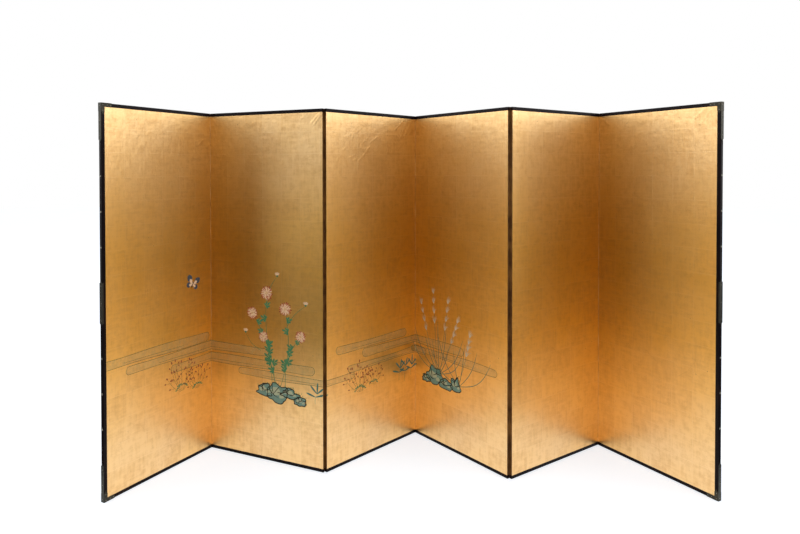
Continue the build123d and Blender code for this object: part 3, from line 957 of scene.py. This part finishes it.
class Pigment:
    """One colour and the marks made with it."""

    def __init__(self, name, *look):
        self.name = name
        self.material = mineral(name, *look)
        self.marks = []

    def stroke(self, points, width, closed=False, lift=BODY):
        """A brush stroke, widest a little before its middle and thin at its end."""
        mark, curve, spline = flat_curve(points, closed)
        curve.dimensions = "3D"
        curve.bevel_depth = 0.5
        curve.bevel_resolution = 1
        curve.use_fill_caps = True
        last = len(points) - 1
        for step, place in enumerate(spline.points):
            swell = 1.0 if closed else 0.25 + 0.75 * math.sin(math.pi * (0.15 + 0.85 * step / last)) ** 0.6
            place.radius = width * swell * hand.uniform(0.8, 1.1)
        self.add(mark, Matrix.Translation((0, 0, lift)) @ Matrix.Diagonal((1, 1, PRESSED, 1)))

    def fill(self, points, lift=WASH):
        """An area of flat colour inside an outline."""
        mark, curve, _ = flat_curve(points, True)
        curve.dimensions = "2D"
        curve.fill_mode = "BOTH"
        curve.extrude = PAINT_DEEP / 2
        self.add(mark, Matrix.Translation((0, 0, lift - PAINT_DEEP / 2)))

    def dab(self, pattern, x, y, turn, length, width, lift=BODY):
        """A copy of a modelled dab with its foot at a point, turned in degrees from straight up."""
        mark = pattern.copy()
        mark.data = pattern.data.copy()
        bpy.context.collection.objects.link(mark)
        turned = Matrix.Rotation(math.radians(turn), 4, "Z")
        self.add(mark, Matrix.Translation((x, y, lift)) @ turned @ Matrix.Diagonal((width, length, 1, 1)))

    def add(self, mark, matrix):
        """Set a mark in its place and keep it for the end."""
        mark.matrix_world = matrix
        self.marks.append(mark)

    def lay(self):
        """Join the marks and cut them at the folds, one piece for each panel that they reach."""
        select_only(*self.marks)
        bpy.ops.object.convert(target="MESH")
        bpy.ops.object.join()
        bpy.ops.object.transform_apply()
        whole = bpy.context.object
        edit_mode(whole)
        bpy.ops.mesh.select_all(action="SELECT")
        bpy.ops.mesh.remove_doubles(threshold=SAME_PLACE)
        bpy.ops.object.mode_set(mode="OBJECT")
        reach = [corner.co.x for corner in whole.data.vertices]
        for number in PANELS:
            left, right = FLAT[number - 1], FLAT[number]
            if max(reach) > left and min(reach) < right:
                self.cut(whole, number, left, right)
        bpy.data.objects.remove(whole)

    def cut(self, whole, number, left, right):
        """The part of a painting between two folds, set on its panel."""
        piece = whole.copy()
        piece.data = whole.data.copy()
        piece.name = f"panel_{number}_{self.name}"
        bpy.context.collection.objects.link(piece)
        edit_mode(piece)
        for fold, side in ((left, 1), (right, -1)):
            bpy.ops.mesh.select_all(action="SELECT")
            bpy.ops.mesh.bisect(plane_co=(fold, 0, 0), plane_no=(side, 0, 0), clear_inner=True, use_fill=True)
        bpy.ops.object.mode_set(mode="OBJECT")
        if not piece.data.polygons:
            bpy.data.objects.remove(piece)
            return
        stand = Matrix.Rotation(math.radians(90), 4, "X") @ Matrix.Translation((-left, 0, 0))
        settle(piece, planes[number][0] @ stand)
        bpy.ops.object.shade_smooth_by_angle(angle=math.radians(40))
        piece.data.materials.clear()
        piece.data.materials.append(self.material)
        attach(piece, f"panel_{number}")
        print(piece.name, len(piece.data.polygons), "faces")


# %% [markdown]
# A dab is a disc squeezed towards its foot, extruded for its thickness and inset for a raised middle. It is
# one unit long, so each copy is scaled to its petal or leaf.

# %% Model the dabs
def modelled_dab(points, foot, crown=0.00006):
    """A unit dab along Y with so many points round its edge, its foot squeezed to a share of its width."""
    bpy.ops.object.select_all(action="DESELECT")
    bpy.ops.mesh.primitive_circle_add(vertices=points, radius=0.5, fill_type="NGON", location=(0, 0.5, 0))
    mark = bpy.context.object
    bpy.ops.object.transform_apply()
    edit_mode(mark)
    choose(mark, lambda co: co.y < 0.45, "vertices")
    bpy.ops.transform.resize(value=(foot, 1, 1), center_override=(0, 0, 0))
    bpy.ops.mesh.select_all(action="SELECT")
    bpy.ops.mesh.extrude_region_move(TRANSFORM_OT_translate={"value": (0, 0, -PAINT_DEEP)})
    bpy.ops.mesh.select_all(action="SELECT")
    bpy.ops.mesh.normals_make_consistent(inside=False)
    choose(mark, lambda co: co.z > -PAINT_DEEP / 4)
    bpy.ops.mesh.inset(thickness=0.12)
    bpy.ops.transform.translate(value=(0, 0, crown))
    bpy.ops.object.mode_set(mode="OBJECT")
    return mark


petal, blade, dot = modelled_dab(14, 0.55), modelled_dab(14, 0.8), modelled_dab(8, 1.0)
print("dabs of", [len(dab.data.polygons) for dab in (petal, blade, dot)], "faces")

# %% [markdown]
# Low bands of mist tie the panels together, level along their edges and round at their ends. A thin pale
# green wash fills them, so that the gold glows through it, and olive ink draws their edges.

# %% Paint the mist
INK = Pigment("olive_ink", (0.17, 0.125, 0.035), (0.075, 0.05, 0.015))
MIST = Pigment("mist_wash", (0.52, 0.62, 0.38), (0.38, 0.50, 0.30), 0.28)


def mist_band(x0, x1, y, height):
    """One long round-ended band between two distances, about a level."""
    radius, steps = height / 2, 10
    edge = []
    for start, end, level in ((x0 + radius, x1 - radius, -radius), (x1 - radius, x0 + radius, radius)):
        for step in range(steps + 1):
            wave = noise.noise((start + step * (end - start) / steps * 3, y, level * 40)) * 0.010
            edge.append((start + (end - start) * step / steps, y + level + wave))
        round_x, facing = (x1 - radius, 1) if end > start else (x0 + radius, -1)
        for degrees in (-55, 0, 55):
            turn = math.radians(degrees)
            edge.append((round_x + facing * radius * math.cos(turn), y + facing * radius * math.sin(turn)))
    MIST.fill(edge)
    INK.stroke(edge, 0.0017, closed=True)
    INK.stroke([(x, y + (level - y) * 0.45) for x, level in edge[2:9]], 0.0014)


BANDS = ((-0.06, 0.62, 0.565, 0.046), (0.10, 0.98, 0.515, 0.040), (0.36, 1.24, 0.455, 0.044),
         (0.80, 1.47, 0.405, 0.034), (1.34, 1.86, 0.545, 0.036), (1.52, 2.30, 0.500, 0.040),
         (1.42, 2.02, 0.440, 0.032), (1.90, 2.52, 0.450, 0.034))
for band in BANDS:
    mist_band(*band)
print("bands of mist:", len(BANDS))

# %% [markdown]
# Mossy stones lie in two groups. A stone is a wobbling ring, filled with blue-green and lit by two paler
# patches. A dark brush that presses and lifts goes round it and draws its cracks, and moss is dotted along
# its crest. Each stone lies a hair higher than the one before, so that no two paints are in one plane.

# %% Paint the mossy stones
DARK = Pigment("dark_ink", (0.035, 0.036, 0.030), (0.012, 0.012, 0.010))
MOSS = Pigment("moss_green", (0.30, 0.46, 0.37), (0.15, 0.29, 0.25))
LICHEN = Pigment("lichen_pale", (0.62, 0.66, 0.46), (0.46, 0.52, 0.33))
LEAF = Pigment("leaf_green", (0.13, 0.34, 0.15), (0.045, 0.19, 0.09))


def ring(x, y, width, height, seed, steps=25):
    """A wobbling closed outline, flatter below than above."""
    outline = []
    for step in range(steps):
        turn = 2 * math.pi * step / steps
        swell = 1 + 0.60 * noise.noise((math.cos(turn) * 1.9 + seed, math.sin(turn) * 1.9, seed))
        rise = math.sin(turn) * (1.0 if math.sin(turn) > 0 else 0.45)
        outline.append((x + math.cos(turn) * swell * width / 2, y + rise * swell * height))
    return outline


LICHENS = ((-0.10, 0.28, 0.52, 0.42, 9, 13), (0.22, 0.02, 0.24, 0.26, 7, 11))
CRACKS = ((2, 12), (5, 15), (8, 18), (10, 21))
STONE_STEP = 0.000008


def stone(x, y, width, height, seed):
    """A mossy stone with its contour, cracks and moss; y is the level of its widest part."""
    outline = ring(x, y, width, height, seed)
    layer = seed * STONE_STEP
    MOSS.fill(outline, WASH + layer)
    for aside, rise, wide, high, twist, steps in LICHENS:
        patch = ring(x + width * aside, y + height * rise, width * wide, height * high, seed + twist, steps)
        LICHEN.fill(patch, BODY + layer)
    DARK.stroke(outline, 0.0048, closed=True, lift=LINE + layer)
    for start, opposite in CRACKS:
        near, far = Vector(outline[start]), Vector(outline[opposite])
        reach, sag = hand.uniform(0.45, 0.75), hand.uniform(-0.014, 0.014)
        crack = bend(near.lerp(far, 0.04), near.lerp(far, reach), sag)
        DARK.stroke(crack, hand.uniform(0.0036, 0.0062), lift=LINE + layer)
    for _ in range(int(width * 160)):
        near_x, near_y = outline[hand.randrange(1, 12)]
        spot = (near_x + hand.uniform(-0.009, 0.009), near_y + hand.uniform(-0.008, 0.006))
        LEAF.dab(dot, *spot, 0, 0.0042, 0.0042, DOTS + layer)


STONES = ((0.955, 0.318, 0.085, 0.040), (1.100, 0.322, 0.110, 0.034), (1.028, 0.305, 0.120, 0.066),
          (1.160, 0.292, 0.072, 0.028), (2.085, 0.315, 0.120, 0.058), (2.170, 0.300, 0.100, 0.036),
          (2.245, 0.312, 0.075, 0.048), (2.020, 0.298, 0.060, 0.026))
for number, place in enumerate(STONES):
    stone(*place, number + 1.0)
print("stones:", len(STONES), "with", len(LEAF.marks), "dots of moss")

# %% [markdown]
# Chrysanthemums grow from behind the first stones. A flower is four rings of petals, each red ring with a
# slightly shorter one of shell white on it, round a heart of yellow dots that turn as a sunflower's seeds
# do. Stems are single strokes, and each lobed leaf is five short dabs pressed from the tip of a full brush.

# %% Paint the chrysanthemums
SHELL = Pigment("shell_white", (0.95, 0.76, 0.50), (0.90, 0.52, 0.30))
RED = Pigment("cinnabar_red", (0.62, 0.16, 0.07), (0.42, 0.08, 0.04))
OCHRE = Pigment("ochre_yellow", (0.80, 0.46, 0.10), (0.55, 0.27, 0.05))


PETAL_RINGS = ((RED, 17, 1.0, 0.25, 0.00008), (SHELL, 17, 0.86, 0.19, 0.00013),
               (RED, 11, 0.62, 0.20, 0.00016), (SHELL, 11, 0.54, 0.16, 0.00020))
SEED_TURN = 137.5


def flower(x, y, radius, tilt):
    """One open flower head."""
    for colour, count, share, width, lift in PETAL_RINGS:
        for step in range(count):
            turn = tilt + step * 360 / count + hand.uniform(-5, 5)
            length = radius * share * hand.uniform(0.88, 1.08)
            colour.dab(petal, x, y, turn, length, radius * width, lift)
    for step in range(9):
        turn, out = math.radians(step * SEED_TURN), radius * 0.06 * math.sqrt(step)
        place = (x + out * math.cos(turn), y + out * math.sin(turn) - 0.0014)
        OCHRE.dab(dot, *place, 0, 0.0030, 0.0030, 0.00026)


def lobed_leaf(x, y, turn, length):
    """A chrysanthemum leaf of five dabs."""
    for spread, share in ((0, 1.0), (36, 0.74), (-36, 0.74), (75, 0.50), (-75, 0.50)):
        LEAF.dab(petal, x, y, turn + spread, length * share, length * 0.30, 0.00007 + share * 0.00003)


BLOOMS = ((1.000, 0.885, 0.700, 0.034, -0.035), (1.022, 0.968, 0.805, 0.038, 0.025),
          (1.050, 1.075, 0.735, 0.036, -0.030), (1.012, 0.950, 0.590, 0.030, -0.020),
          (1.075, 1.160, 0.610, 0.031, 0.030))
BUDS = ((0.845, 0.600, 0.935, 0.520), (1.190, 0.760, 1.080, 0.640), (1.030, 0.890, 0.975, 0.760))
for root_x, x, y, radius, sag in BLOOMS:
    stem = bend((root_x, 0.360), (x, y), sag, 7)
    LEAF.stroke(stem, 0.0030)
    for step in (2, 3, 5, 6):
        side = 1 if step in (2, 5) else -1
        turn, length = side * hand.uniform(50, 85), hand.uniform(0.030, 0.040) * (1.15 - step * 0.05)
        lobed_leaf(*stem[step], turn, length)
    flower(x, y, radius, hand.uniform(0, 20))
for x, y, from_x, from_y in BUDS:
    LEAF.stroke(bend((from_x, from_y), (x, y), 0.015), 0.0022)
    for turn in (-34, -12, 12, 34):
        SHELL.dab(petal, x, y, turn, 0.022, 0.008, 0.00012)
    for turn in (-20, 0, 20):
        LEAF.dab(petal, x, y - 0.003, turn, 0.011, 0.008, 0.00014)
print("flowers:", len(BLOOMS), "open and", len(BUDS), "in bud")

# %% [markdown]
# Burnet, pampas grass and low bamboo fill the ground. Burnet has dark red heads at the ends of wiry stems,
# pampas has long blades that bow over and feathery plumes, and each stem of bamboo grass has three pointed
# leaves at its tip and two below.

# %% Paint the grasses
RUSSET = Pigment("russet", (0.46, 0.14, 0.06), (0.27, 0.07, 0.03))
TEAL = Pigment("blue_green", (0.10, 0.27, 0.22), (0.05, 0.16, 0.14))
PLUME = Pigment("pale_grey", (0.82, 0.76, 0.58), (0.62, 0.58, 0.44))


def burnet(x, y, stems, reach):
    """A tuft of burnet."""
    for step in range(stems):
        lean = (step / (stems - 1) - 0.5) * 1.5 + hand.uniform(-0.12, 0.12)
        length = reach * hand.uniform(0.65, 1.0)
        tip = beyond((x, y), lean, length)
        stem = bend((x + step * 0.003, y), tip, -0.10 * length * lean, 5)
        INK.stroke(stem, 0.0014)
        for place in (2, 3, 4):
            side = 1 if (place + step) % 2 else -1
            turn = lean + side * 0.75
            end = beyond(stem[place], turn, 0.022)
            INK.stroke(bend(stem[place], end, 0.002, 3), 0.0010)
            RUSSET.dab(dot, *end, -math.degrees(turn), hand.uniform(0.009, 0.012), 0.0075, 0.0001)
        RUSSET.dab(dot, *tip, -math.degrees(lean), 0.014, 0.0085, 0.0001)
        LEAF.dab(petal, *stem[1], -math.degrees(lean) + 60, 0.012, 0.007)
        LEAF.dab(petal, *stem[1], -math.degrees(lean) - 60, 0.012, 0.007)


def pampas(x, y, blades, plumes):
    """A clump of pampas grass."""
    for step in range(blades):
        lean = (step / (blades - 1) - 0.5) * 2.0
        length = hand.uniform(0.16, 0.27)
        tip = (x + math.sin(lean) * length, y + math.cos(lean * 0.9) * length)
        TEAL.stroke(bend((x + step * 0.002, y), tip, -0.16 * length * lean, 5), 0.0036)
    for lean, length in plumes:
        stem = bend((x, y), beyond((x, y), lean, length), -0.08 * length * lean, 8)
        TEAL.stroke(stem, 0.0018)
        for place in (5, 6, 7, 8):
            for spread in (-0.55, -0.3, -0.1, 0.15, 0.4):
                turn = lean + spread + 0.2
                end = beyond(stem[place], turn, hand.uniform(0.028, 0.045))
                PLUME.stroke(bend(stem[place], end, 0.004, 3), 0.0024)


def bamboo_grass(x, y, height):
    """One stem of low bamboo."""
    stem = bend((x, y), (x + 0.010, y + height), 0.006, 3)
    TEAL.stroke(stem, 0.0018)
    for place, turns in ((3, (-50, -10, 40)), (2, (70, -75))):
        for turn in turns:
            TEAL.dab(blade, *stem[place], turn + hand.uniform(-8, 8), hand.uniform(0.042, 0.056), 0.0095)


TUFTS = ((0.420, 0.335, 8, 0.160), (0.525, 0.320, 6, 0.125),
         (1.500, 0.310, 8, 0.150), (1.600, 0.325, 5, 0.100))
BAMBOOS = ((1.800, 0.300, 0.060), (1.845, 0.285, 0.080), (1.895, 0.305, 0.055), (1.240, 0.300, 0.050))
for tuft in TUFTS:
    burnet(*tuft)
pampas(2.110, 0.352, 9, ((-0.35, 0.36), (-0.08, 0.41), (0.20, 0.38), (0.46, 0.32)))
pampas(2.260, 0.325, 6, ((0.30, 0.27),))
for place in BAMBOOS:
    bamboo_grass(*place)
print("burnet heads:", len(RUSSET.marks), "and feathers of pampas:", len(PLUME.marks))

# %% [markdown]
# A butterfly crosses the empty gold. Its wings are four petals, with smaller ones of shell white on top, and
# one thick dark stroke is its body, with two thin ones for the feelers.

# %% Paint the butterfly
SLATE = Pigment("slate_blue", (0.10, 0.12, 0.15), (0.04, 0.05, 0.07))
WINGS = ((28, 0.058, 0.034), (-62, 0.056, 0.032), (84, 0.040, 0.030), (-122, 0.038, 0.028))
TAIL, HEART, NECK, BROW = (0.493, 0.826), (0.505, 0.840), (0.515, 0.852), (0.514, 0.851)
for turn, length, width in WINGS:
    SLATE.dab(petal, *HEART, turn, length, width, 0.00008)
    SHELL.dab(petal, *HEART, turn, length * 0.60, width * 0.55, 0.00013)
DARK.stroke(bend(TAIL, NECK, 0.001, 3), 0.0050, lift=0.00016)
for turn in (0.45, 0.95):
    DARK.stroke(bend(BROW, beyond(BROW, turn, 0.024), 0.003, 3), 0.0013, lift=0.0001)
print("butterfly wings:", len(SLATE.marks))

# %% [markdown]
# Now the flat painting is cut at the folds. Every colour becomes one piece on each panel that it reaches,
# stood up and carried to the face of the gold.

# %% Set the painting on the panels
for pigment in (MIST, INK, MOSS, LICHEN, DARK, LEAF, RED, SHELL, OCHRE, RUSSET, TEAL, PLUME, SLATE):
    pigment.lay()
for pattern in (petal, blade, dot):
    bpy.data.objects.remove(pattern)
